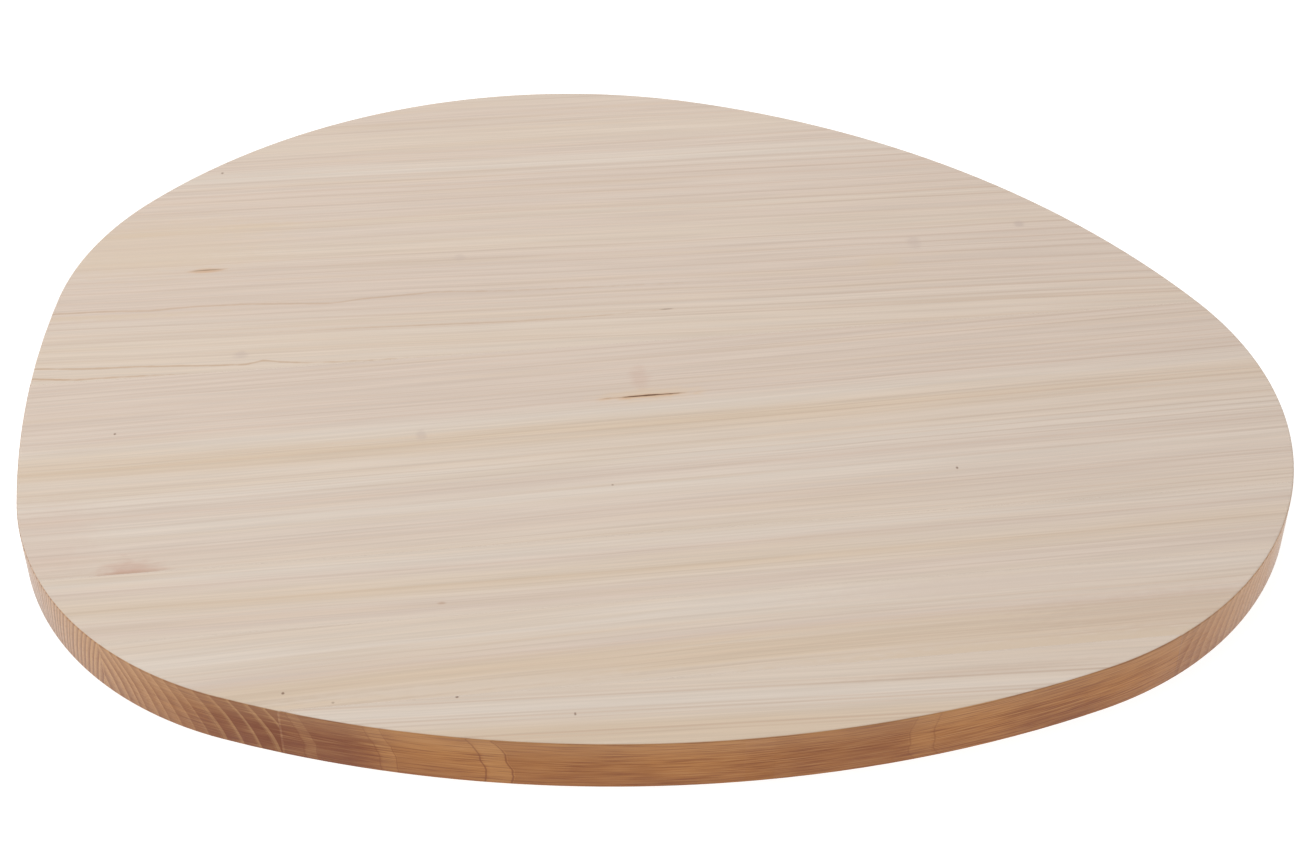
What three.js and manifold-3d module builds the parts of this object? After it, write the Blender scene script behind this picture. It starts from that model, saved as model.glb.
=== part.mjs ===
// Pebble-shaped cutting board, edge-glued from five cypress staves. Millimetres, +Z up.
// The origin is on the table under the middle of the board, X runs along the grain
// and Y from the front edge to the back.

import * as THREE from 'three';
import { mergeVertices, toCreasedNormals } from 'three/addons/utils/BufferGeometryUtils.js';
import Module from 'manifold-3d';

// Board blank
const THICKNESS = 15;
const ARRIS_RADIUS = 0.5;

// Rounded corners of the outline: circle centres and radii
const LEFT_FRONT_X = -77;
const LEFT_FRONT_Y = -32;
const LEFT_FRONT_RADIUS = 93;
const RIGHT_X = 68;
const RIGHT_Y = -33;
const RIGHT_RADIUS = 103;
const BACK_X = -27;
const BACK_Y = -15;
const BACK_RADIUS = 159;
const LEFT_BACK_RADIUS = 91;

// Direction, in degrees from X, in which the back runs straight on into the left back corner
const LEFT_BACK_ANGLE = 136;

// Long sides of the outline, each one arc that runs smoothly into its two corners
const FRONT_SIDE_RADIUS = 300;
const RIGHT_SIDE_RADIUS = 240;
const LEFT_SIDE_RADIUS = 330;

// Staves, counted from the front edge
const STAVE_1_WIDTH = 21.8;
const STAVE_2_WIDTH = 27.6;
const STAVE_3_WIDTH = 24.4;
const STAVE_4_WIDTH = 79.8;
const JOINT_GAP = 0.2;
const GLUE_THICKNESS = 0.18;

// Facets: turn of the outline per facet in degrees, steps round each eased edge
const OUTLINE_STEP = 3;
const ARRIS_STEPS = 3;

// Vertices closer than this are one, and facets that turn less than this shade as one surface
const MERGE_DISTANCE = 1e-4;
const CREASE_ANGLE = Math.PI / 6;

const leftFront = { centre: new THREE.Vector2(LEFT_FRONT_X, LEFT_FRONT_Y), radius: LEFT_FRONT_RADIUS };
const right = { centre: new THREE.Vector2(RIGHT_X, RIGHT_Y), radius: RIGHT_RADIUS };
const back = { centre: new THREE.Vector2(BACK_X, BACK_Y), radius: BACK_RADIUS };

// The left back corner lies inside the back's circle and touches it where the two arcs meet.
const leftBackStart = THREE.MathUtils.degToRad(LEFT_BACK_ANGLE);
const leftBackOffset = new THREE.Vector2(Math.cos(leftBackStart), Math.sin(leftBackStart));
leftBackOffset.multiplyScalar(BACK_RADIUS - LEFT_BACK_RADIUS);
const leftBack = { centre: back.centre.clone().add(leftBackOffset), radius: LEFT_BACK_RADIUS };

// The arc of a long side, round two corner circles that it touches from outside.
function sideArc(from, to, radius) {
  const along = to.centre.clone().sub(from.centre);
  const distance = along.length();
  along.normalize();
  const inward = new THREE.Vector2(-along.y, along.x);
  const reachFrom = radius - from.radius;
  const reachTo = radius - to.radius;
  const run = (reachFrom ** 2 - reachTo ** 2 + distance ** 2) / (2 * distance);
  const rise = Math.sqrt(reachFrom ** 2 - run ** 2);
  const centre = from.centre.clone().addScaledVector(along, run).addScaledVector(inward, rise);
  const start = from.centre.clone().sub(centre).angle();
  const end = to.centre.clone().sub(centre).angle();
  return { centre, radius, start, end };
}

// Points of an arc, counter-clockwise, without its last point: the next arc starts there.
function arcPoints({ centre, radius, start, end }) {
  const turn = THREE.MathUtils.euclideanModulo(end - start, 2 * Math.PI);
  const steps = Math.ceil(THREE.MathUtils.radToDeg(turn) / OUTLINE_STEP);
  return Array.from({ length: steps }, (_, step) => {
    const angle = start + (turn * step) / steps;
    return new THREE.Vector2(Math.cos(angle), Math.sin(angle)).multiplyScalar(radius).add(centre);
  });
}

// The whole outline from the left front corner round, moved so that its middle is at the origin.
function outlinePoints() {
  const frontSide = sideArc(leftFront, right, FRONT_SIDE_RADIUS);
  const rightSide = sideArc(right, back, RIGHT_SIDE_RADIUS);
  const leftSide = sideArc(leftBack, leftFront, LEFT_SIDE_RADIUS);
  const arcs = [
    { ...leftFront, start: leftSide.end, end: frontSide.start },
    frontSide,
    { ...right, start: frontSide.end, end: rightSide.start },
    rightSide,
    { ...back, start: rightSide.end, end: leftBackStart },
    { ...leftBack, start: leftBackStart, end: leftSide.start },
    leftSide,
  ];
  const points = arcs.flatMap(arcPoints);
  const middle = new THREE.Box2().setFromPoints(points).getCenter(new THREE.Vector2());
  return points.map((point) => point.sub(middle));
}

const wasm = await Module();
wasm.setup();

function toSolid(geometry) {
  geometry.deleteAttribute('normal');
  geometry.deleteAttribute('uv');
  const merged = mergeVertices(geometry, MERGE_DISTANCE);
  const vertProperties = new Float32Array(merged.attributes.position.array);
  const triVerts = new Uint32Array(merged.index.array);
  return new wasm.Manifold(new wasm.Mesh({ numProp: 3, vertProperties, triVerts }));
}

function toGeometry(solid) {
  const mesh = solid.getMesh();
  const geometry = new THREE.BufferGeometry();
  geometry.setAttribute('position', new THREE.BufferAttribute(mesh.vertProperties, 3));
  geometry.setIndex(new THREE.BufferAttribute(mesh.triVerts, 1));
  return toCreasedNormals(geometry, CREASE_ANGLE);
}

// The glued-up panel, sawn to the outline with its top and bottom edges eased.
const outline = outlinePoints();
const blankGeometry = new THREE.ExtrudeGeometry(new THREE.Shape(outline), {
  depth: THICKNESS - 2 * ARRIS_RADIUS,
  bevelThickness: ARRIS_RADIUS,
  bevelSize: ARRIS_RADIUS,
  bevelOffset: -ARRIS_RADIUS,
  bevelSegments: ARRIS_STEPS,
});
blankGeometry.translate(0, 0, ARRIS_RADIUS);
const blank = toSolid(blankGeometry);
const reach = new THREE.Box2().setFromPoints(outline);

// What the blank holds between two straight saw lines along the grain. The slab that cuts it out
// is longer and taller than the blank.
function slice(frontY, backY) {
  const width = backY - frontY;
  const length = reach.max.x - reach.min.x + 2 * THICKNESS;
  const slab = new THREE.BoxGeometry(length, width, 4 * THICKNESS);
  slab.translate(0, frontY + width / 2, 0);
  return toGeometry(blank.intersect(toSolid(slab)));
}

const woodMaterial = new THREE.MeshStandardMaterial({ color: 0xd8c8b4, roughness: 0.6, metalness: 0 });
const glueMaterial = new THREE.MeshStandardMaterial({ color: 0xc9ae8c, roughness: 0.4, metalness: 0 });

const board = new THREE.Group();

function addPiece(name, frontY, backY, material) {
  const piece = new THREE.Mesh(slice(frontY, backY), material);
  piece.name = name;
  board.add(piece);
}

// Joint lines, from the front edge to the back. The last stave takes the rest of the board.
const joints = [];
let jointY = reach.min.y;
for (const width of [STAVE_1_WIDTH, STAVE_2_WIDTH, STAVE_3_WIDTH, STAVE_4_WIDTH]) {
  jointY += width;
  joints.push(jointY);
}

// Staves run from joint to joint, and the first and last reach past the board's edge.
const halfGap = JOINT_GAP / 2;
const staveFronts = [reach.min.y - THICKNESS, ...joints.map((y) => y + halfGap)];
const staveBacks = [...joints.map((y) => y - halfGap), reach.max.y + THICKNESS];
staveFronts.forEach((frontY, i) => addPiece(`stave_${i + 1}`, frontY, staveBacks[i], woodMaterial));

// The cured adhesive film in each joint.
const halfGlue = GLUE_THICKNESS / 2;
joints.forEach((y, i) => addPiece(`glue_line_${i + 1}`, y - halfGlue, y + halfGlue, glueMaterial));

export default board;
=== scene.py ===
"""Looks of a pebble-shaped cutting board: five cypress staves glued edge to edge, seen from the front."""

import math

import bmesh
import bpy
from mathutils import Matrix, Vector


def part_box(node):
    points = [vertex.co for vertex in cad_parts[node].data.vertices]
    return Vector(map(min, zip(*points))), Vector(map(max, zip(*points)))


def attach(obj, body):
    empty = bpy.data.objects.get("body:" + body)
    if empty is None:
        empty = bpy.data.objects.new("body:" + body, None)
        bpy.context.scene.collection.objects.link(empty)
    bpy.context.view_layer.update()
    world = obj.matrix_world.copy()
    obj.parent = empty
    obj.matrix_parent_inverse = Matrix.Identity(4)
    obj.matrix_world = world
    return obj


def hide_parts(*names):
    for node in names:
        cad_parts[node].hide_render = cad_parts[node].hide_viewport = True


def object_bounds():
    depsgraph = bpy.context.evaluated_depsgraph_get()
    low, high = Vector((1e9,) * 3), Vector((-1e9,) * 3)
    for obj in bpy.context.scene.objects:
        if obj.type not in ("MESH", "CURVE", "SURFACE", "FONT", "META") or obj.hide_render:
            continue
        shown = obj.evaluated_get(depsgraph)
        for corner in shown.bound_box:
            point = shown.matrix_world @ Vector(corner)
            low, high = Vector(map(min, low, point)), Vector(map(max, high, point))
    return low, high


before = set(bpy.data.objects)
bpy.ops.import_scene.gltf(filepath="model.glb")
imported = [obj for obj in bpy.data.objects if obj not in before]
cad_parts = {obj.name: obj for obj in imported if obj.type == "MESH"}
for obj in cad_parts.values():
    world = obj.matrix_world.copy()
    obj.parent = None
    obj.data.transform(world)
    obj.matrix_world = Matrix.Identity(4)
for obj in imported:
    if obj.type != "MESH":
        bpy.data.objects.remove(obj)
cad_low, cad_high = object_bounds()

# Front stave: a narrow strip of planed cypress, with wide growth rings that stand upright.
# It is glued to the stave behind it, then sawn and sanded to the board's outline with the
# whole panel, and its sawn edge is sealed with a brown finish.

# The outline has four round corners. The long sides between them are arcs that run smoothly
# into both corners, and the left back corner starts where the back is still turning.
corner_front_left = (Vector((-0.077, -0.032)), 0.093)
corner_right = (Vector((0.068, -0.033)), 0.103)
corner_back = (Vector((-0.027, -0.015)), 0.159)
back_left_radius = 0.091
back_left_direction = math.radians(136)
front_side_radius = 0.300
right_side_radius = 0.240
left_side_radius = 0.330
board_thickness = cad_high.z - cad_low.z
eased_edge_radius = 0.0005


def facing(direction):
    """Unit vector in plan."""
    return Vector((math.cos(direction), math.sin(direction)))


def long_side(first, second, radius):
    """(start direction, centre, radius) of the side arc that touches two corners, and where it ends."""
    along = second[0] - first[0]
    distance = along.length
    along.normalize()
    inward = Vector((-along.y, along.x))
    first_reach = radius - first[1]
    second_reach = radius - second[1]
    run = (first_reach**2 - second_reach**2 + distance**2) / (2 * distance)
    centre = first[0] + along * run + inward * math.sqrt(first_reach**2 - run**2)
    start = math.atan2(*reversed(first[0] - centre)) % (2 * math.pi)
    end = math.atan2(*reversed(second[0] - centre)) % (2 * math.pi)
    return (start, centre, radius), end


back_left_offset = corner_back[1] - back_left_radius
corner_back_left = (corner_back[0] + back_left_offset * facing(back_left_direction), back_left_radius)
front_side, right_start = long_side(corner_front_left, corner_right, front_side_radius)
right_side, back_start = long_side(corner_right, corner_back, right_side_radius)
left_side, front_left_start = long_side(corner_back_left, corner_front_left, left_side_radius)
outline_arcs = sorted(
    [
        (front_left_start, *corner_front_left),
        front_side,
        (right_start, *corner_right),
        right_side,
        (back_start, *corner_back),
        (back_left_direction, *corner_back_left),
        left_side,
    ],
    key=lambda arc: arc[0],
)

toward_right, toward_back, toward_left, toward_front = (math.radians(a) for a in (0, 90, 180, 270))


def outline_point(direction, inset=0.0):
    """Point of the outline that faces a direction, moved inward by inset."""
    turn = direction % (2 * math.pi)
    begun = [arc for arc in outline_arcs if arc[0] <= turn]
    _, centre, radius = begun[-1] if begun else outline_arcs[-1]
    return centre + (radius - inset) * facing(direction)


outline_middle = Vector(
    (
        (outline_point(toward_right).x + outline_point(toward_left).x) / 2,
        (outline_point(toward_back).y + outline_point(toward_front).y) / 2,
    )
)


def direction_at(y, front, back, inset):
    """Direction between front and back in which the outline reaches a given y."""
    for _ in range(50):
        halfway = (front + back) / 2
        if outline_point(halfway, inset).y - outline_middle.y < y:
            front = halfway
        else:
            back = halfway
    return (front + back) / 2


def eased_profile():
    """(height, inset) up the edge, with a narrow flat rim just inside each eased edge."""
    steps = 5
    rim_width = 0.0003
    sanded_off = 0.00001
    radius = eased_edge_radius
    lower = [(0.0, radius + rim_width)]
    for step in range(steps + 1):
        turn = math.pi / 2 * step / steps
        lower.append((radius - radius * math.cos(turn), sanded_off + radius - radius * math.sin(turn)))
    upper = [(board_thickness - height, inset) for height, inset in reversed(lower)]
    return lower + upper


def stave(name, rows, columns=14):
    """Mesh object of one stave between its two saw lines, in place of the CAD solid of that name."""
    low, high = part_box(name)
    profile = eased_profile()
    shape = bmesh.new()
    corners = {}

    def corner(level, row, column):
        key = (level, row, column)
        if key not in corners:
            height, inset = profile[level]
            ends = []
            for front in (toward_front, toward_front - 2 * math.pi):
                first = direction_at(low.y, front, toward_back, inset)
                last = direction_at(high.y, front, toward_back, inset)
                ends.append(outline_point(first + (last - first) * row / rows, inset) - outline_middle)
            place = ends[0].lerp(ends[1], column / columns)
            corners[key] = shape.verts.new((place.x, place.y, height))
        return corners[key]

    def panel(count_a, count_b, spot):
        for a in range(count_a):
            for b in range(count_b):
                shape.faces.new([spot(a, b), spot(a + 1, b), spot(a + 1, b + 1), spot(a, b + 1)])

    top = len(profile) - 1
    panel(columns, rows, lambda c, r: corner(top, r, c))
    panel(rows, columns, lambda r, c: corner(0, r, c))
    panel(columns, top, lambda c, k: corner(k, 0, c))
    panel(top, columns, lambda k, c: corner(k, rows, c))
    panel(top, rows, lambda k, r: corner(k, r, 0))
    panel(rows, top, lambda r, k: corner(k, r, columns))
    bmesh.ops.remove_doubles(shape, verts=shape.verts, dist=1e-6)
    bmesh.ops.recalc_face_normals(shape, faces=shape.faces)
    mesh = bpy.data.meshes.new(name)
    shape.to_mesh(mesh)
    shape.free()
    mesh.shade_smooth()
    mesh.set_sharp_from_angle(angle=math.radians(30))
    piece = bpy.data.objects.new(name + "_wood", mesh)
    bpy.context.scene.collection.objects.link(piece)
    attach(piece, "root")
    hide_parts(name)
    return piece


def add_node(tree, kind, inputs=None, **settings):
    """New node with its settings made, and its inputs set to numbers or joined to other sockets."""
    node = tree.nodes.new(kind)
    for setting, value in settings.items():
        setattr(node, setting, value)
    for socket, value in (inputs or {}).items():
        if isinstance(value, bpy.types.NodeSocket):
            tree.links.new(value, node.inputs[socket])
        else:
            node.inputs[socket].default_value = value
    return node


def calculate(tree, operation, first, second=None):
    """Result of a Math node."""
    inputs = {0: first} if second is None else {0: first, 1: second}
    return add_node(tree, "ShaderNodeMath", inputs, operation=operation).outputs[0]


def ramp_between(tree, value, start, end, low=0.0, high=1.0):
    """Value run smoothly from low at start to high at end."""
    inputs = {"Value": value, "From Min": start, "From Max": end, "To Min": low, "To Max": high}
    return add_node(tree, "ShaderNodeMapRange", inputs, interpolation_type="SMOOTHSTEP").outputs[0]


def blend_colour(tree, amount, first, second, way="MIX"):
    """Colour between two others."""
    node = add_node(tree, "ShaderNodeMix", data_type="RGBA", blend_type=way)
    for socket, value in ((node.inputs[0], amount), (node.inputs[6], first), (node.inputs[7], second)):
        if isinstance(value, bpy.types.NodeSocket):
            tree.links.new(value, socket)
        else:
            socket.default_value = value
    return node.outputs[2]


def stretched(tree, place, scale):
    """Place scaled along each axis."""
    return add_node(tree, "ShaderNodeVectorMath", {0: place, 1: scale}, operation="MULTIPLY").outputs[0]


def soft_noise(tree, place, detail, roughness=0.5):
    """Noise from 0 to 1 over a place, with a middle of one half."""
    inputs = {"Vector": place, "Scale": 1.0, "Detail": detail, "Roughness": roughness}
    return add_node(tree, "ShaderNodeTexNoise", inputs).outputs[0]


def wood_group(name, inputs, outputs):
    """Empty shader group, with its input sockets by name and its output node."""
    group = bpy.data.node_groups.new(name, "ShaderNodeTree")
    for socket, kind in inputs.items():
        group.interface.new_socket(socket, in_out="INPUT", socket_type=kind)
    for socket, kind in outputs.items():
        group.interface.new_socket(socket, in_out="OUTPUT", socket_type=kind)
    return group, group.nodes.new("NodeGroupInput").outputs, group.nodes.new("NodeGroupOutput").inputs


# Growth rings are shells round the pith, which runs nearly along the board and may tilt. Slope,
# fan and bow say how the grain crosses the board, sway how far it wanders, and ripple how many
# times as fast it wanders through the thickness.
NUMBER, COLOUR = "NodeSocketFloat", "NodeSocketColor"
growth_rings, rings_in, rings_out = wood_group(
    "growth rings",
    {
        "Slope": NUMBER,
        "Fan": NUMBER,
        "Bow": NUMBER,
        "Middle Y": NUMBER,
        "Pith Y": NUMBER,
        "Pith Z": NUMBER,
        "Pith Tilt": NUMBER,
        "Ring Width": NUMBER,
        "First Year": NUMBER,
        "Uneven Years": NUMBER,
        "Sway": NUMBER,
        "Ripple": NUMBER,
        "Seed": NUMBER,
    },
    {"Radius": NUMBER, "Season": NUMBER, "Latewood": NUMBER, "Fibre": NUMBER, "Drift": NUMBER},
)
tree = growth_rings
wander_scale = (8, 26, 26)
wander_roughness = 0.45
board_place = add_node(tree, "ShaderNodeTexCoord").outputs["Object"]
place_xyz = add_node(tree, "ShaderNodeSeparateXYZ", {0: board_place}).outputs
seed_shift = add_node(tree, "ShaderNodeCombineXYZ", {0: rings_in["Seed"], 1: rings_in["Seed"]}).outputs[0]
below_face = calculate(tree, "SUBTRACT", place_xyz[2], board_thickness)
ripple_place = calculate(tree, "MULTIPLY", below_face, rings_in["Ripple"])
wander_place = add_node(
    tree, "ShaderNodeCombineXYZ", {0: place_xyz[0], 1: place_xyz[1], 2: ripple_place}
).outputs[0]
wander_place = add_node(
    tree,
    "ShaderNodeVectorMath",
    {0: wander_place, 1: wander_scale, 2: (0, 0, wander_scale[2] * board_thickness)},
    operation="MULTIPLY_ADD",
).outputs[0]
wander_place = add_node(
    tree, "ShaderNodeVectorMath", {0: wander_place, 1: seed_shift}, operation="ADD"
).outputs[0]
wander = soft_noise(tree, wander_place, 3.0, wander_roughness)
wander = calculate(tree, "MULTIPLY", calculate(tree, "SUBTRACT", wander, 0.5), rings_in["Sway"])
from_middle = calculate(tree, "SUBTRACT", place_xyz[1], rings_in["Middle Y"])
fan_slope = calculate(tree, "MULTIPLY", rings_in["Fan"], from_middle)
bow_slope = calculate(tree, "MULTIPLY", rings_in["Bow"], place_xyz[0])
slope_here = calculate(tree, "ADD", calculate(tree, "ADD", rings_in["Slope"], fan_slope), bow_slope)
across = calculate(tree, "ADD", place_xyz[1], calculate(tree, "MULTIPLY", slope_here, place_xyz[0]))
across = calculate(tree, "ADD", across, wander)
from_pith_y = calculate(tree, "SUBTRACT", across, rings_in["Pith Y"])
pith_rise = calculate(tree, "MULTIPLY", rings_in["Pith Tilt"], place_xyz[0])
pith_height = calculate(tree, "ADD", rings_in["Pith Z"], pith_rise)
from_pith_z = calculate(tree, "SUBTRACT", place_xyz[2], pith_height)
from_pith = add_node(tree, "ShaderNodeCombineXYZ", {1: from_pith_y, 2: from_pith_z}).outputs[0]
ring_radius = add_node(tree, "ShaderNodeVectorMath", {0: from_pith}, operation="LENGTH").outputs["Value"]

# The year at a place, the time of that year's growth from 0 to 1, and the dark late growth that
# ends it. Good and bad years change the width of the rings, and chance their strength.
year_change = 0.4
late_start, late_full, late_end = 0.58, 0.9, 0.92
faintest_ring = 0.2
even_years = calculate(tree, "DIVIDE", ring_radius, rings_in["Ring Width"])
year_place = calculate(tree, "ADD", calculate(tree, "MULTIPLY", even_years, year_change), rings_in["Seed"])
good_years = add_node(
    tree, "ShaderNodeTexNoise", {"W": year_place, "Scale": 1.0, "Detail": 1.0}, noise_dimensions="1D"
).outputs[0]
good_years = calculate(tree, "MULTIPLY", good_years, rings_in["Uneven Years"])
years = calculate(tree, "ADD", calculate(tree, "ADD", even_years, good_years), rings_in["First Year"])
season = calculate(tree, "FRACT", years)
year = calculate(tree, "ADD", calculate(tree, "FLOOR", years), rings_in["Seed"])
ring_chance = add_node(tree, "ShaderNodeTexWhiteNoise", {"W": year}, noise_dimensions="1D").outputs[0]
late_rise = ramp_between(tree, season, late_start, late_full)
late_fall = ramp_between(tree, season, late_end, 1.0, 1.0, 0.0)
late_weight = ramp_between(tree, ring_chance, 0.0, 1.0, faintest_ring, 1.0)
latewood = calculate(tree, "MULTIPLY", calculate(tree, "MULTIPLY", late_rise, late_fall), late_weight)

# Fibres run along the grain, and broader stripes of colour drift across it.
fibre_scale = (20, 1700, 1700)
fibre_roughness = 0.6
drift_scale = (9, 260, 260)
grain_place = add_node(
    tree, "ShaderNodeCombineXYZ", {0: place_xyz[0], 1: across, 2: place_xyz[2]}
).outputs[0]
fibre = soft_noise(tree, stretched(tree, grain_place, fibre_scale), 2.0, fibre_roughness)
drift_place = add_node(
    tree,
    "ShaderNodeVectorMath",
    {0: stretched(tree, grain_place, drift_scale), 1: seed_shift},
    operation="ADD",
).outputs[0]
drift = soft_noise(tree, drift_place, 2.0)
tree.links.new(ring_radius, rings_out["Radius"])
tree.links.new(season, rings_out["Season"])
tree.links.new(latewood, rings_out["Latewood"])
tree.links.new(fibre, rings_out["Fibre"])
tree.links.new(drift, rings_out["Drift"])


def colour(red, green, blue):
    """Linear colour from 8-bit display values."""
    linear = []
    for value in (red, green, blue):
        share = value / 255
        linear.append(share / 12.92 if share <= 0.04045 else ((share + 0.055) / 1.055) ** 2.4)
    return (*linear, 1.0)


# The sealed edge: a brown finish covers the sawn edge up to the eased edges and leaves a low
# gloss. The soft start of each year's growth drinks more of it and goes darker on the end grain,
# while along the grain it settles in short dark streaks. The edge is painted lighter towards the
# cutting face, as painted light from above, and painted darker towards the underside, as painted shade.
sealed_edge, edge_in, edge_out = wood_group(
    "sealed edge",
    {
        "Face Colour": COLOUR,
        "Season": NUMBER,
        "Soft Share": NUMBER,
        "Ring Depth": NUMBER,
        "Stain": NUMBER,
        "Fibre": NUMBER,
    },
    {"Colour": COLOUR, "Roughness": NUMBER, "Gloss": NUMBER},
)
tree = sealed_edge
edge_brown = colour(192, 128, 60)
edge_tan = colour(203, 160, 118)
# Painted sheen: a pale grey laid over the end grain where the edge is seen at a grazing angle.
end_grain_sheen = colour(209, 183, 161)
edge_dark = colour(126, 60, 10)
edge_rust = colour(124, 66, 32)
edge_pale = colour(208, 160, 104)
edge_coords = add_node(tree, "ShaderNodeTexCoord").outputs
edge_normal = add_node(tree, "ShaderNodeSeparateXYZ", {0: edge_coords["Normal"]}).outputs
face_tilt, edge_tilt = 0.92, 0.6
on_edge = ramp_between(tree, calculate(tree, "ABSOLUTE", edge_normal[2]), face_tilt, edge_tilt)
level_normal = add_node(tree, "ShaderNodeCombineXYZ", {0: edge_normal[0], 1: edge_normal[1]}).outputs[0]
level_normal = add_node(tree, "ShaderNodeVectorMath", {0: level_normal}, operation="NORMALIZE").outputs[0]
along_grain = add_node(tree, "ShaderNodeSeparateXYZ", {0: level_normal}).outputs[0]
end_share = calculate(tree, "ABSOLUTE", along_grain)
end_share_start, sheen_share_start = 0.35, 0.75
end_grain = ramp_between(tree, end_share, end_share_start, 1.0)
long_grain = calculate(tree, "SUBTRACT", 1.0, end_grain)

# Blotches and streaks of finish along the grain.
blotch_scale = (40, 40, 90)
blotch_from, blotch_to, blotch_depth = 0.35, 0.7, 0.25
streak_scale = (70, 70, 3300)
streak_roughness = 0.6
gold_from, gold_to, gold_depth = 0.5, 0.3, 0.32
dark_from, dark_to, dark_depth = 0.45, 0.7, 0.58
blotch = soft_noise(tree, stretched(tree, edge_coords["Object"], blotch_scale), 3.0)
blotch = ramp_between(tree, blotch, blotch_from, blotch_to, 0.0, blotch_depth)
streak_noise = soft_noise(tree, stretched(tree, edge_coords["Object"], streak_scale), 2.0, streak_roughness)
gold_streaks = ramp_between(tree, streak_noise, gold_from, gold_to, 0.0, gold_depth)
gold_streaks = calculate(tree, "MULTIPLY", gold_streaks, long_grain)
dark_streaks = ramp_between(tree, streak_noise, dark_from, dark_to, 0.0, dark_depth)
dark_streaks = calculate(tree, "MULTIPLY", dark_streaks, long_grain)

# Rings: soft early growth, hard late growth, and a thin line on each side of the hard part.
soft_end, soft_depth, soft_depth_along = 0.8, 0.85, 0.9
hard_full, hard_end, hard_depth = 0.84, 0.96, 0.38
line_before_hard, line_after_hard = 0.797, 0.987
line_half_season = 0.012
line_depth = 1.9
season = edge_in["Season"]
soft_growth = ramp_between(tree, season, 0.0, soft_end, soft_depth, 0.0)
soft_growth = calculate(tree, "MULTIPLY", soft_growth, edge_in["Ring Depth"])
hard_rise = ramp_between(tree, season, edge_in["Soft Share"], hard_full, 0.0, hard_depth)
hard_fall = ramp_between(tree, season, hard_end, 1.0, 1.0, 0.0)
hard_growth = calculate(tree, "MULTIPLY", hard_rise, hard_fall)
hard_growth = calculate(tree, "MULTIPLY", hard_growth, edge_in["Ring Depth"])


def season_line(tree, season, middle):
    """Thin line at one time of the year's growth."""
    rise = ramp_between(tree, season, middle - line_half_season, middle)
    fall = ramp_between(tree, season, middle, middle + line_half_season, 1.0, 0.0)
    return calculate(tree, "MULTIPLY", rise, fall)


line_before = season_line(tree, season, line_before_hard)
line_after = season_line(tree, season, line_after_hard)
ring_lines = calculate(tree, "MAXIMUM", line_before, line_after)
ring_lines = calculate(tree, "MULTIPLY", ring_lines, edge_in["Ring Depth"])
ring_lines = calculate(tree, "MULTIPLY", ring_lines, long_grain)
ring_lines = calculate(tree, "MULTIPLY", ring_lines, line_depth)

# Colours of the long grain and of the end grain, one over the other.
speckle_from, speckle_to, speckle_depth = 0.48, 0.72, 0.4
# Depths of the painted light near the cutting face and the painted shade near the underside.
top_light_depth, underside_shade_depth = 0.26, 0.18
dark_share = calculate(tree, "MULTIPLY", calculate(tree, "ADD", edge_in["Stain"], blotch), long_grain)
dark_share = calculate(tree, "ADD", dark_share, dark_streaks)
edge_colour = blend_colour(tree, dark_share, edge_brown, edge_dark)
edge_colour = blend_colour(tree, gold_streaks, edge_colour, edge_pale)
# Painted sheen: where the edge faces along the board, the tan end grain is painted a paler grey, standing
# in for the pale surroundings reflected at a grazing angle.
end_colour = blend_colour(tree, ramp_between(tree, end_share, sheen_share_start, 1.0), edge_tan, end_grain_sheen)
end_colour = blend_colour(tree, soft_growth, end_colour, edge_rust)
end_speckle = ramp_between(tree, edge_in["Fibre"], speckle_from, speckle_to, 0.0, speckle_depth)
end_colour = blend_colour(tree, end_speckle, end_colour, edge_rust)
edge_colour = blend_colour(tree, end_grain, edge_colour, end_colour)
soft_along = calculate(tree, "MULTIPLY", soft_growth, soft_depth_along)
soft_along = calculate(tree, "MULTIPLY", soft_along, long_grain)
edge_colour = blend_colour(tree, soft_along, edge_colour, edge_dark)
edge_colour = blend_colour(tree, hard_growth, edge_colour, edge_pale)
edge_colour = blend_colour(tree, ring_lines, edge_colour, edge_dark)
edge_height = add_node(tree, "ShaderNodeSeparateXYZ", {0: edge_coords["Object"]}).outputs[2]
middle_height = board_thickness / 2
# Painted light and shade: the edge is painted paler towards the cutting face and darker towards the
# underside.
painted_top_light = ramp_between(tree, edge_height, middle_height, board_thickness, 0.0, top_light_depth)
edge_colour = blend_colour(tree, painted_top_light, edge_colour, edge_tan)
painted_underside_shade = ramp_between(tree, edge_height, middle_height, 0.0, 0.0, underside_shade_depth)
edge_colour = blend_colour(tree, painted_underside_shade, edge_colour, edge_dark)
tree.links.new(blend_colour(tree, on_edge, edge_in["Face Colour"], edge_colour), edge_out["Colour"])

# The finish makes the edge smoother than the sanded face and gives it a thin gloss.
smooth_face, rough_face = 0.56, 0.68
smoother_edge = 0.22
edge_gloss = 0.08
face_roughness = ramp_between(tree, edge_in["Fibre"], 0.2, 0.8, smooth_face, rough_face)
edge_smoothness = calculate(tree, "MULTIPLY", on_edge, smoother_edge)
tree.links.new(calculate(tree, "SUBTRACT", face_roughness, edge_smoothness), edge_out["Roughness"])
tree.links.new(calculate(tree, "MULTIPLY", on_edge, edge_gloss), edge_out["Gloss"])

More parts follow.
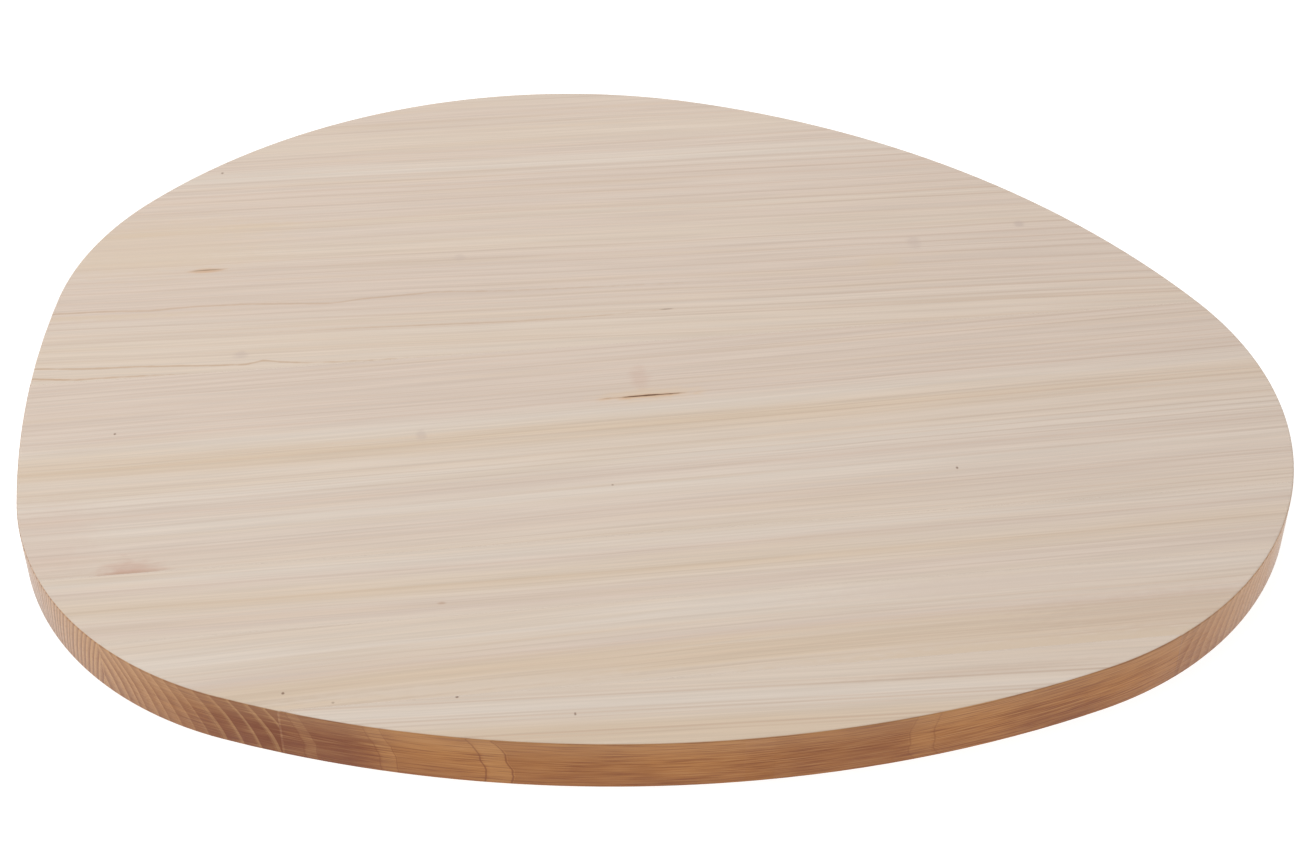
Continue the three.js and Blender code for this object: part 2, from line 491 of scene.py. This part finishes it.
# A mark in the cutting face, such as a pin knot, a streak of resin or a rubbed spot: an oval
# with a ragged border that reaches a few millimetres down.
board_mark, mark_in, mark_out = wood_group(
    "board mark",
    {"Across": NUMBER, "X": NUMBER, "Y": NUMBER, "Length": NUMBER, "Width": NUMBER},
    {"Mask": NUMBER},
)
tree = board_mark
ragged_scale = (260, 800, 800)
ragged_share = 0.5
mark_rim, mark_core = 0.5, 0.12
mark_deep, mark_deepest = 0.002, 0.005
mark_place = add_node(tree, "ShaderNodeTexCoord").outputs["Object"]
mark_xyz = add_node(tree, "ShaderNodeSeparateXYZ", {0: mark_place}).outputs
ragged = soft_noise(tree, stretched(tree, mark_place, ragged_scale), 2.0)
ragged = calculate(tree, "MULTIPLY", calculate(tree, "SUBTRACT", ragged, 0.5), ragged_share)
mark_along = calculate(tree, "SUBTRACT", mark_xyz[0], mark_in["X"])
mark_along = calculate(tree, "DIVIDE", mark_along, mark_in["Length"])
mark_across = calculate(tree, "SUBTRACT", mark_in["Across"], mark_in["Y"])
mark_across = calculate(tree, "DIVIDE", mark_across, mark_in["Width"])
mark_reach = add_node(tree, "ShaderNodeCombineXYZ", {0: mark_along, 1: mark_across}).outputs[0]
mark_reach = add_node(tree, "ShaderNodeVectorMath", {0: mark_reach}, operation="LENGTH").outputs["Value"]
mark_mask = ramp_between(tree, calculate(tree, "ADD", mark_reach, ragged), mark_rim, mark_core)
mark_depth = ramp_between(tree, mark_xyz[2], board_thickness - mark_deepest, board_thickness - mark_deep)
tree.links.new(calculate(tree, "MULTIPLY", mark_mask, mark_depth), mark_out["Mask"])

pale = colour(221, 207, 193)
rose = colour(216, 198, 183)
honey = colour(215, 194, 171)
straw = colour(219, 202, 185)
late_brown = colour(186, 154, 130)
resin_brown = colour(98, 62, 36)
resin_amber = colour(206, 160, 116)
resin_gold = colour(221, 195, 165)
knot_pink = colour(198, 160, 142)
rubbed_grey = colour(194, 176, 166)
pin_brown = colour(110, 74, 52)


def cypress(
    name, rings, bands, strong_rings, late_share, soft_share, ring_depth, stain, marks=(), streaks=()
):
    """Wood of one stave.

    Bands are (y, tint) and strong rings (y, weight) at the cutting face. Ring depth and stain are
    (x, amount) along the sawn edge. Marks are (x, y, length, width, tint, strength), and streaks
    (path, width, tint, strength).
    """
    low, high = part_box(name)
    material = bpy.data.materials.new("cypress " + name)
    material.use_nodes = True
    tree = material.node_tree
    finish = tree.nodes["Principled BSDF"]

    def radius_at(y):
        return math.hypot(y - rings["Pith Y"], board_thickness - rings["Pith Z"])

    def ramp_of(value, stops):
        stops = sorted(stops)
        start, end = stops[0][0], stops[-1][0]
        inputs = {"Value": value, "From Min": start, "From Max": end}
        share = add_node(tree, "ShaderNodeMapRange", inputs).outputs[0]
        ramp = add_node(tree, "ShaderNodeValToRGB", {0: share})
        for number, (place, tint) in enumerate(stops):
            position = (place - start) / (end - start)
            if number < 2:
                element = ramp.color_ramp.elements[number]
                element.position = position
            else:
                element = ramp.color_ramp.elements.new(position)
            element.color = tint
        return ramp.outputs[0]

    def grey(amount):
        return (amount, amount, amount, 1)

    inputs = {**rings, "Middle Y": (low.y + high.y) / 2}
    grain = add_node(tree, "ShaderNodeGroup", inputs, node_tree=growth_rings)
    radius, drift = grain.outputs["Radius"], grain.outputs["Drift"]
    board_place = add_node(tree, "ShaderNodeTexCoord").outputs["Object"]
    along, across, _ = add_node(tree, "ShaderNodeSeparateXYZ", {0: board_place}).outputs
    face = ramp_of(radius, [(radius_at(y), tint) for y, tint in bands])
    honey_limit, honey_depth = 0.72, 0.32
    pale_limit, pale_depth = 0.3, 0.3
    rosy_from, rosy_to, rosy_depth = 0.0, 0.15, 0.4
    face = blend_colour(tree, ramp_between(tree, drift, 0.5, honey_limit, 0.0, honey_depth), face, honey)
    face = blend_colour(tree, ramp_between(tree, drift, 0.5, pale_limit, 0.0, pale_depth), face, pale)
    face = blend_colour(tree, ramp_between(tree, along, rosy_from, rosy_to, 0.0, rosy_depth), face, rose)
    line_half_width = 0.00045
    weak_end, strong_end = 0.0, 0.14
    weak_lines, strong_lines = 0.8, 1.25
    line_stops = []
    for y, weight in strong_rings:
        line_stops.append((radius_at(y), grey(weight)))
        line_stops += [(radius_at(y) + side, grey(0)) for side in (-line_half_width, line_half_width)]
    late = calculate(tree, "MULTIPLY", grain.outputs["Latewood"], late_share)
    late = calculate(tree, "MAXIMUM", late, ramp_of(radius, line_stops))
    line_strength = ramp_between(tree, along, weak_end, strong_end, weak_lines, strong_lines)
    face = blend_colour(tree, calculate(tree, "MULTIPLY", late, line_strength), face, late_brown)
    darkest_fibre, palest_fibre = 0.93, 1.05
    shade = ramp_between(tree, grain.outputs["Fibre"], 0.25, 0.75, darkest_fibre, palest_fibre)
    shade = add_node(tree, "ShaderNodeCombineColor", {0: shade, 1: shade, 2: shade}).outputs[0]
    face = blend_colour(tree, 1.0, face, shade, "MULTIPLY")
    for x, y, length, width, tint, strength in marks:
        inputs = {"Across": across, "X": x, "Y": y, "Length": length, "Width": width}
        mark = add_node(tree, "ShaderNodeGroup", inputs, node_tree=board_mark)
        face = blend_colour(tree, calculate(tree, "MULTIPLY", mark.outputs[0], strength), face, tint)
    for path, width, tint, strength in streaks:
        line_y = ramp_of(along, [(x, grey(y)) for x, y in path])
        off_line = calculate(tree, "SUBTRACT", across, line_y)
        left, right = path[0][0], path[-1][0]
        inputs = {"Across": off_line, "X": (left + right) / 2, "Length": right - left, "Width": width}
        mark = add_node(tree, "ShaderNodeGroup", inputs, node_tree=board_mark)
        face = blend_colour(tree, calculate(tree, "MULTIPLY", mark.outputs[0], strength), face, tint)
    inputs = {
        "Face Colour": face,
        "Season": grain.outputs["Season"],
        "Soft Share": soft_share,
        "Ring Depth": ramp_of(along, [(x, grey(amount)) for x, amount in ring_depth]),
        "Stain": ramp_of(along, [(x, grey(amount)) for x, amount in stain]),
        "Fibre": grain.outputs["Fibre"],
    }
    edge = add_node(tree, "ShaderNodeGroup", inputs, node_tree=sealed_edge)
    tree.links.new(edge.outputs["Colour"], finish.inputs["Base Color"])
    tree.links.new(edge.outputs["Roughness"], finish.inputs["Roughness"])
    tree.links.new(edge.outputs["Gloss"], finish.inputs["Coat Weight"])
    finish.inputs["Coat Roughness"].default_value = 0.22
    finish.inputs["Specular IOR Level"].default_value = 0.3
    relief_strength, relief_height = 0.12, 0.0001
    relief = calculate(tree, "ADD", grain.outputs["Latewood"], grain.outputs["Fibre"])
    inputs = {"Height": relief, "Strength": relief_strength, "Distance": relief_height}
    bump = add_node(tree, "ShaderNodeBump", inputs)
    tree.links.new(bump.outputs[0], finish.inputs["Normal"])
    return material


front_stave = stave("stave_1", rows=24)
front_rings = {
    "Slope": math.tan(math.radians(2.17)),
    "Fan": 0.0,
    "Bow": 0.0113,
    "Pith Y": -0.0623,
    "Pith Z": 0.0049,
    "Pith Tilt": 0.039,
    "Ring Width": 0.00556,
    "First Year": -0.04,
    "Uneven Years": 0.0,
    "Sway": 0.0010,
    "Ripple": 5.0,
    "Seed": 3.0,
}
front_bands = [
    (-0.1225, straw),
    (-0.126, straw),
    (-0.130, pale),
    (-0.134, straw),
    (-0.137, honey),
    (-0.143, honey),
]
front_lines = [
    (-0.1257, 0.20),
    (-0.1270, 0.45),
    (-0.1314, 0.28),
    (-0.1325, 0.45),
    (-0.1339, 0.22),
    (-0.1384, 0.60),
    (-0.1396, 0.32),
]
front_marks = [
    (-0.0593, -0.1227, 0.0011, 0.0010, pin_brown, 0.75),
    (-0.0318, -0.1315, 0.0009, 0.0014, pin_brown, 0.7),
    (0.0660, -0.1284, 0.0900, 0.0044, late_brown, 0.16),
]
front_depth = [
    (-0.100, 0.35),
    (-0.070, 0.25),
    (-0.060, 0.4),
    (0.035, 0.4),
    (0.045, 0.2),
    (0.060, 0.2),
    (0.068, 0.03),
    (0.110, 0.03),
]
front_stain = [
    (-0.100, 0.70),
    (-0.086, 0.62),
    (-0.074, 0.05),
    (-0.045, 0.0),
    (-0.020, 0.22),
    (0.044, 0.25),
    (0.054, 0.08),
    (0.064, 0.12),
    (0.078, 0.35),
    (0.090, 0.40),
    (0.105, 0.20),
]
front_wood = cypress(
    "stave_1",
    front_rings,
    bands=front_bands,
    strong_rings=front_lines,
    late_share=0.0,
    soft_share=0.8,
    ring_depth=front_depth,
    stain=front_stain,
    marks=front_marks,
)
front_stave.data.materials.append(front_wood)

# Second stave: a strip cut near the heart of the log, so its rings stand at a slant and show
# as strokes on the sawn ends. It is glued between the front stave and the third one.
second_stave = stave("stave_2", rows=16)
second_rings = {
    "Slope": math.tan(math.radians(-1.2)),
    "Fan": 0.0,
    "Bow": 0.08,
    "Pith Y": -0.068,
    "Pith Z": -0.003,
    "Pith Tilt": 0.0,
    "Ring Width": 0.0021,
    "First Year": 0.0,
    "Uneven Years": 1.0,
    "Sway": 0.0034,
    "Ripple": 1.0,
    "Seed": 11.0,
}
second_bands = [
    (-0.0950, straw),
    (-0.0975, pale),
    (-0.1005, pale),
    (-0.1045, straw),
    (-0.1085, rose),
    (-0.1120, honey),
    (-0.1150, honey),
    (-0.1185, honey),
    (-0.1224, straw),
]
second_lines = [(-0.1044, 0.16), (-0.1102, 0.22), (-0.1132, 0.14), (-0.1167, 0.14)]
second_marks = [
    (-0.1005, -0.1167, 0.0010, 0.0011, pin_brown, 0.75),
    (-0.0887, -0.1212, 0.0011, 0.0011, pin_brown, 0.45),
    (0.0900, -0.1218, 0.1900, 0.0080, honey, 0.85),
    (-0.0550, -0.1196, 0.1200, 0.0050, straw, 0.65),
    (0.1200, -0.1130, 0.1100, 0.0200, late_brown, 0.14),
    (0.0750, -0.0990, 0.1300, 0.0090, rose, 0.7),
]
second_depth = [
    (-0.141, 0.75),
    (-0.134, 0.6),
    (-0.122, 0.45),
    (-0.114, 0.9),
    (-0.100, 1.0),
    (0.105, 0.3),
    (0.135, 0.5),
]
second_stain = [(-0.140, 0.35), (-0.122, 0.5), (-0.114, 0.7), (-0.100, 0.8), (0.100, 0.35), (0.130, 0.35)]
second_wood = cypress(
    "stave_2",
    second_rings,
    bands=second_bands,
    strong_rings=second_lines,
    late_share=0.2,
    soft_share=0.68,
    ring_depth=second_depth,
    stain=second_stain,
    marks=second_marks,
)
second_stave.data.materials.append(second_wood)

# Third stave: a narrow strip with close rings that stand nearly upright on its sawn ends, and
# warm bands. It is glued between the second stave and the wide fourth one.
third_stave = stave("stave_3", rows=16)
third_rings = {
    "Slope": math.tan(math.radians(-0.2)),
    "Fan": 0.0,
    "Bow": -0.02,
    "Pith Y": -0.205,
    "Pith Z": -0.016,
    "Pith Tilt": 0.0,
    "Ring Width": 0.0013,
    "First Year": 0.0,
    "Uneven Years": 1.0,
    "Sway": 0.0022,
    "Ripple": 1.0,
    "Seed": 23.0,
}
third_bands = [
    (-0.0946, straw),
    (-0.0920, rose),
    (-0.0895, rose),
    (-0.0868, straw),
    (-0.0832, honey),
    (-0.0800, straw),
    (-0.0770, rose),
    (-0.0735, pale),
    (-0.0707, straw),
]
third_lines = [(-0.0768, 0.2), (-0.0833, 0.16), (-0.0898, 0.1)]
third_marks = [(-0.0612, -0.0902, 0.0030, 0.0014, late_brown, 0.6)]
third_depth = [(-0.16, 1.0), (0.16, 0.45)]
third_stain = [(-0.16, 0.1), (0.16, 0.1)]
third_wood = cypress(
    "stave_3",
    third_rings,
    bands=third_bands,
    strong_rings=third_lines,
    late_share=0.16,
    soft_share=0.6,
    ring_depth=third_depth,
    stain=third_stain,
    marks=third_marks,
)
third_stave.data.materials.append(third_wood)

# Fourth stave: a wide quarter-sawn piece with close, upright rings, glued behind the third. It
# has a short streak of resin in one ring and half of a small knot that the joint cuts through.
fourth_stave = stave("stave_4", rows=30)
fourth_rings = {
    "Slope": math.tan(math.radians(-0.9)),
    "Fan": 0.0,
    "Bow": -0.02,
    "Pith Y": -0.280,
    "Pith Z": 0.004,
    "Pith Tilt": 0.0,
    "Ring Width": 0.0021,
    "First Year": 0.0,
    "Uneven Years": 1.0,
    "Sway": 0.0024,
    "Ripple": 1.0,
    "Seed": 37.0,
}
fourth_bands = [
    (-0.0700, straw),
    (-0.0610, rose),
    (-0.0520, pale),
    (-0.0465, rose),
    (-0.0405, pale),
    (-0.0365, straw),
    (-0.0325, straw),
    (-0.0265, honey),
    (-0.0195, pale),
    (-0.0150, rose),
    (0.0090, rose),
]
fourth_lines = [
    (0.0062, 0.2),
    (0.0022, 0.22),
    (-0.0020, 0.2),
    (-0.0147, 0.3),
    (-0.0087, 0.2),
    (-0.0240, 0.2),
    (-0.0464, 0.22),
    (-0.0507, 0.18),
    (-0.0607, 0.2),
]
fourth_marks = [
    (-0.0010, -0.0142, 0.0400, 0.0080, resin_gold, 0.45),
    (-0.0020, -0.0149, 0.0320, 0.0024, resin_amber, 0.5),
    (-0.0012, -0.0147, 0.0264, 0.0009, resin_brown, 0.95),
    (-0.0025, -0.0065, 0.0080, 0.0130, knot_pink, 0.25),
    (-0.1600, -0.0560, 0.0360, 0.0440, knot_pink, 0.12),
    (-0.1390, -0.0702, 0.0240, 0.0135, knot_pink, 0.5),
    (-0.1400, -0.0705, 0.0150, 0.0046, knot_pink, 0.6),
    (-0.1395, -0.0701, 0.0260, 0.0016, late_brown, 0.4),
    (-0.0637, -0.0245, 0.0040, 0.0060, rubbed_grey, 0.35),
    (-0.1457, -0.0145, 0.0010, 0.0012, pin_brown, 0.7),
    (-0.0145, -0.0507, 0.0010, 0.0010, pin_brown, 0.5),
    (0.0770, -0.0545, 0.0010, 0.0014, pin_brown, 0.7),
]
fourth_depth = [(-0.17, 1.0), (0.17, 0.12)]
fourth_stain = [(-0.17, 0.0), (0.17, 0.0)]
fourth_wood = cypress(
    "stave_4",
    fourth_rings,
    bands=fourth_bands,
    strong_rings=fourth_lines,
    late_share=0.24,
    soft_share=0.6,
    ring_depth=fourth_depth,
    stain=fourth_stain,
    marks=fourth_marks,
)
fourth_stave.data.materials.append(fourth_wood)

# Back stave: the widest piece, quarter-sawn, with stronger rings towards the back edge and thin
# brown streaks at its left end.
back_stave = stave("stave_5", rows=44)
back_rings = {
    "Slope": math.tan(math.radians(1.4)),
    "Fan": -0.2,
    "Bow": 0.0,
    "Pith Y": 0.420,
    "Pith Z": -0.020,
    "Pith Tilt": 0.0,
    "Ring Width": 0.0033,
    "First Year": 0.0,
    "Uneven Years": 1.0,
    "Sway": 0.0032,
    "Ripple": 1.0,
    "Seed": 53.0,
}
back_bands = [
    (0.0094, straw),
    (0.0200, straw),
    (0.0350, rose),
    (0.0540, rose),
    (0.0620, straw),
    (0.0710, rose),
    (0.0752, straw),
    (0.0795, rose),
    (0.0850, rose),
    (0.0960, rose),
    (0.1040, pale),
    (0.1100, rose),
    (0.1200, straw),
    (0.1330, rose),
    (0.1440, straw),
]
back_lines = [
    (0.0129, 0.28),
    (0.0224, 0.32),
    (0.0339, 0.2),
    (0.0364, 0.2),
    (0.0679, 0.22),
    (0.0749, 0.18),
    (0.0857, 0.28),
    (0.0999, 0.2),
    (0.1087, 0.3),
]
back_marks = [
    (-0.1230, 0.0580, 0.0140, 0.0030, resin_amber, 0.6),
    (-0.1230, 0.0583, 0.0115, 0.0009, resin_brown, 0.65),
    (0.0088, 0.0238, 0.0050, 0.0010, resin_brown, 0.4),
    (-0.1125, 0.0165, 0.0060, 0.0050, rubbed_grey, 0.4),
    (-0.0488, 0.0560, 0.0050, 0.0050, rubbed_grey, 0.3),
    (0.0862, 0.0480, 0.0060, 0.0090, rubbed_grey, 0.35),
    (0.1195, 0.0537, 0.0046, 0.0050, rubbed_grey, 0.55),
    (0.0750, 0.0392, 0.0160, 0.0080, honey, 0.5),
    (-0.1380, 0.0720, 0.1000, 0.0480, honey, 0.45),
    (-0.1415, 0.0783, 0.0300, 0.0036, honey, 0.6),
    (-0.1090, 0.0793, 0.0400, 0.0034, honey, 0.6),
    (-0.1195, 0.1092, 0.0014, 0.0014, pin_brown, 0.6),
]
streak_brown = colour(184, 145, 106)
upper_streak = [
    (-0.320, 0.0425),
    (-0.165, 0.0417),
    (-0.151, 0.0412),
    (-0.139, 0.0402),
    (-0.126, 0.0407),
    (-0.111, 0.0402),
    (-0.087, 0.0378),
    (-0.078, 0.0388),
    (-0.057, 0.0398),
    (-0.035, 0.0379),
    (0.060, 0.0340),
]
upper_fringe = [(-0.230, 0.0400), (-0.165, 0.0393), (-0.151, 0.0384), (-0.133, 0.0378), (-0.095, 0.0370)]
lower_streak = [
    (-0.260, 0.0190),
    (-0.169, 0.0166),
    (-0.157, 0.0152),
    (-0.139, 0.0143),
    (-0.118, 0.0124),
    (-0.111, 0.0120),
    (-0.106, 0.0132),
    (-0.101, 0.0119),
    (-0.094, 0.0108),
    (-0.085, 0.0102),
    (-0.075, 0.0098),
    (-0.030, 0.0098),
]
corner_streak = [(-0.250, 0.0150), (-0.169, 0.0121), (-0.158, 0.0104), (-0.148, 0.0104), (-0.110, 0.0090)]
fine_streak = [(-0.115, 0.0262), (-0.076, 0.0250), (-0.036, 0.0231), (-0.018, 0.0228), (0.025, 0.0240)]
back_streaks = [
    (upper_fringe, 0.0034, honey, 0.6),
    (upper_streak, 0.0012, streak_brown, 0.36),
    (lower_streak, 0.0012, streak_brown, 0.5),
    (corner_streak, 0.0011, streak_brown, 0.55),
    (fine_streak, 0.0010, streak_brown, 0.34),
]
back_depth = [(-0.17, 0.6), (0.17, 0.6)]
back_stain = [(-0.17, 0.1), (0.17, 0.1)]
back_wood = cypress(
    "stave_5",
    back_rings,
    bands=back_bands,
    strong_rings=back_lines,
    late_share=0.28,
    soft_share=0.6,
    ring_depth=back_depth,
    stain=back_stain,
    marks=back_marks,
    streaks=back_streaks,
)
back_stave.data.materials.append(back_wood)

# Glue lines: the cured film of wood glue in each of the four joints, sanded flush with the
# staves. It has dried to about the colour of the wood and is painted a few levels paler, as painted
# light that cancels the shade in the hair-thin gaps beside it, so the joints hardly show.
glue_film = bpy.data.materials.new("wood glue film")
glue_film.use_nodes = True
tree = glue_film.node_tree
film_scale = (300, 300, 300)
film_place = add_node(tree, "ShaderNodeTexCoord").outputs["Object"]
film_noise = soft_noise(tree, stretched(tree, film_place, film_scale), 2.0)
film_amount = ramp_between(tree, film_noise, 0.3, 0.7)
# Painted light: both film colours are a little paler than the wood, to offset the shade of the thin gaps at
# its sides.
film_straw = colour(219, 203, 187)
film_pale = colour(224, 208, 193)
film_colour = blend_colour(tree, film_amount, film_straw, film_pale)
film_edge = add_node(tree, "ShaderNodeGroup", node_tree=sealed_edge)
tree.links.new(film_colour, film_edge.inputs["Face Colour"])
tree.links.new(film_noise, film_edge.inputs["Fibre"])
film_edge.inputs["Stain"].default_value = 0.5
film_finish = tree.nodes["Principled BSDF"]
tree.links.new(film_edge.outputs["Colour"], film_finish.inputs["Base Color"])
tree.links.new(film_edge.outputs["Roughness"], film_finish.inputs["Roughness"])
for name in ("glue_line_1", "glue_line_2", "glue_line_3", "glue_line_4"):
    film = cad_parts[name]
    film.data.materials.clear()
    film.data.materials.append(glue_film)

# Studio: a glowing white table under a large overhead light from the left and back, in even
# pale surroundings.
floor_half = 15.0
floor_mesh = bpy.data.meshes.new("studio floor")
floor_corners = [(-floor_half, -floor_half, 0), (floor_half, -floor_half, 0), (floor_half, floor_half, 0)]
floor_corners.append((-floor_half, floor_half, 0))
floor_mesh.from_pydata(floor_corners, [], [(0, 1, 2, 3)])
floor = bpy.data.objects.new("studio_floor", floor_mesh)
bpy.context.scene.collection.objects.link(floor)
floor_paint = bpy.data.materials.new("white table")
floor_paint.use_nodes = True
table_finish = floor_paint.node_tree.nodes["Principled BSDF"]
table_finish.inputs["Base Color"].default_value = (0.4, 0.4, 0.4, 1)
table_finish.inputs["Roughness"].default_value = 0.9
table_finish.inputs["Emission Color"].default_value = (1, 1, 1, 1)
table_finish.inputs["Emission Strength"].default_value = 0.85
floor_mesh.materials.append(floor_paint)

surroundings = bpy.data.worlds.new("pale studio")
bpy.context.scene.world = surroundings
surroundings.use_nodes = True
surroundings.node_tree.nodes["Background"].inputs["Color"].default_value = (1, 1, 1, 1)
surroundings.node_tree.nodes["Background"].inputs["Strength"].default_value = 0.5

overhead = bpy.data.lights.new("overhead softbox", "AREA")
overhead.shape = "RECTANGLE"
overhead.size = 1.6
overhead.size_y = 1.2
overhead.energy = 15.2
overhead_place = bpy.data.objects.new("overhead_softbox", overhead)
overhead_place.location = (-0.45, 0.45, 1.4)
overhead_place.rotation_euler = (-overhead_place.location).to_track_quat("-Z", "Y").to_euler()
bpy.context.scene.collection.objects.link(overhead_place)

camera = bpy.data.cameras.new("photo camera")
camera.sensor_width = 36.0
camera.lens = 65.8
camera_place = bpy.data.objects.new("photo_camera", camera)
camera_place.location = (-0.05901, -0.52039, 0.42822)
heading = math.radians(6.673)
look_down = math.radians(40)
level = math.cos(look_down)
look = Vector((math.sin(heading) * level, math.cos(heading) * level, -math.sin(look_down)))
camera_place.rotation_euler = look.to_track_quat("-Z", "Y").to_euler()
bpy.context.scene.collection.objects.link(camera_place)
bpy.context.scene.camera = camera_place
bpy.context.scene.view_settings.view_transform = "Standard"
